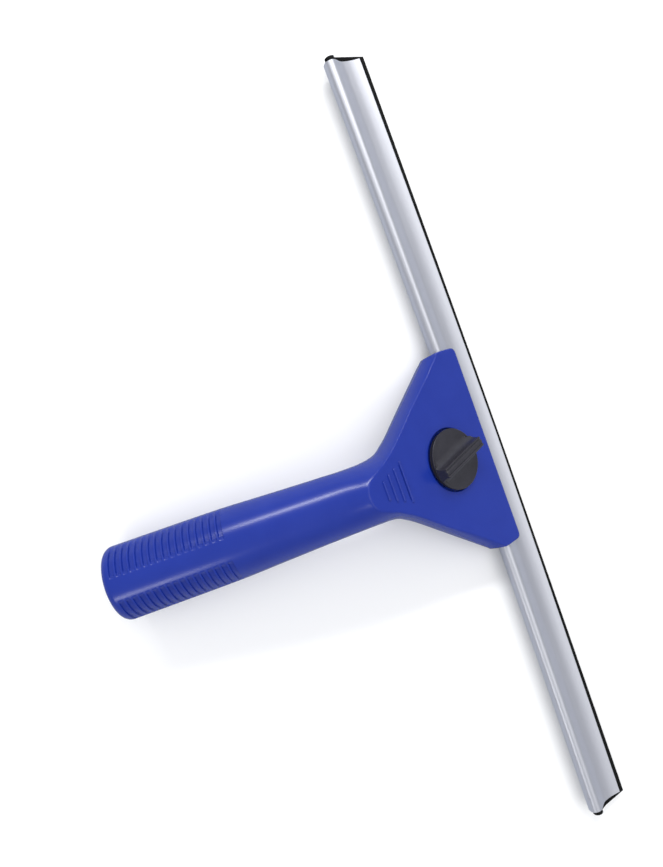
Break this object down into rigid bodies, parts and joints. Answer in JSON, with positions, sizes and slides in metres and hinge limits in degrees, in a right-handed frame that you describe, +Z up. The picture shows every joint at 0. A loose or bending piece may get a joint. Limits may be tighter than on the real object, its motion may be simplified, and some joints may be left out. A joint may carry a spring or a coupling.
{
  "type": "window cleaning squeegee",
  "caption": "Window squeegee: a rubber blade in an aluminium channel, clamped across a ribbed handle with a sloping triangular head and a thumbscrew.",
  "frame": {"origin": "centre of the bounding box in plan, on the table that the squeegee lies on (z = 0)", "axes": "+X along the blade, +Y from the grip towards the blade, +Z up off the table"},
  "size_m": [0.3546, 0.1782, 0.0444],
  "materials": {
    "blue_plastic": "semi-gloss moulded, royal blue",
    "charcoal_plastic": "satin moulded, charcoal",
    "zinc_steel": "zinc plated",
    "spring_steel": "oiled spring steel",
    "jaw_plastic": "moulded, royal blue",
    "satin_aluminium": "satin anodised",
    "black_rubber": "smooth natural rubber"
  },
  "bodies": {
    "handle": {"handle_body": "blue_plastic", "thumbscrew_washer": "zinc_steel"},
    "screw": {"thumbscrew_knob": "charcoal_plastic", "thumbscrew_stud": "zinc_steel", "stud_retaining_ring": "spring_steel"},
    "jaw": {"clamp_jaw": "jaw_plastic", "jaw_nut": "zinc_steel"},
    "blade": {"blade_channel": "satin_aluminium", "rubber_blade": "black_rubber"}
  },
  "joints": [
    {"name": "thumbscrew_turn", "type": "hinge", "parent": "handle", "child": "screw", "pos_m": [0.0028, 0.06096, 0.02012], "axis": [0, 0.5111, 0.8595], "range_deg": [0, 540]},
    {"name": "jaw_open", "type": "slide", "parent": "handle", "child": "jaw", "axis": [0, -0.5111, -0.8595], "range_m": [0, 0.0015]},
    {"name": "channel_slide", "type": "slide", "parent": "handle", "child": "blade", "axis": [1, 0, 0], "range_m": [-0.06, 0.06]}
  ],
  "couplings": [
    {"joint": "jaw_open", "follows": "thumbscrew_turn", "m_per_rad": 0.00015915}
  ]
}
